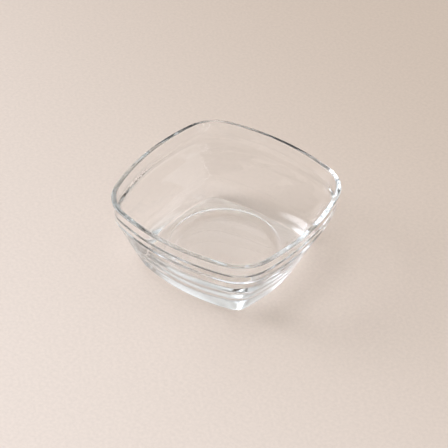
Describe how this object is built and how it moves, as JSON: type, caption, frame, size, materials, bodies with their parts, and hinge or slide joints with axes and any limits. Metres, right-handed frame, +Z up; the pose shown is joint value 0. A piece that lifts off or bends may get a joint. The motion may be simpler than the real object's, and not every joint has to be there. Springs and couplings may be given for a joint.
{
  "type": "pudding bowl",
  "caption": "Small square pudding bowl of clear pressed glass with bowed sides, round corners, an upright band under the rim with a stacking ledge inside it, a tapered body and a round disc in the floor.",
  "frame": {"origin": "middle of the foot, on the surface that the bowl stands on", "axes": "+Z up through the open top, X and Y square to the bowed sides"},
  "size_m": [0.11, 0.11, 0.046],
  "materials": {
    "clear_glass": "fire-polished pressed soda-lime glass, clear, with a faint grey-green edge"
  },
  "bodies": {
    "root": {"glass_bowl": "clear_glass"}
  },
  "joints": []
}
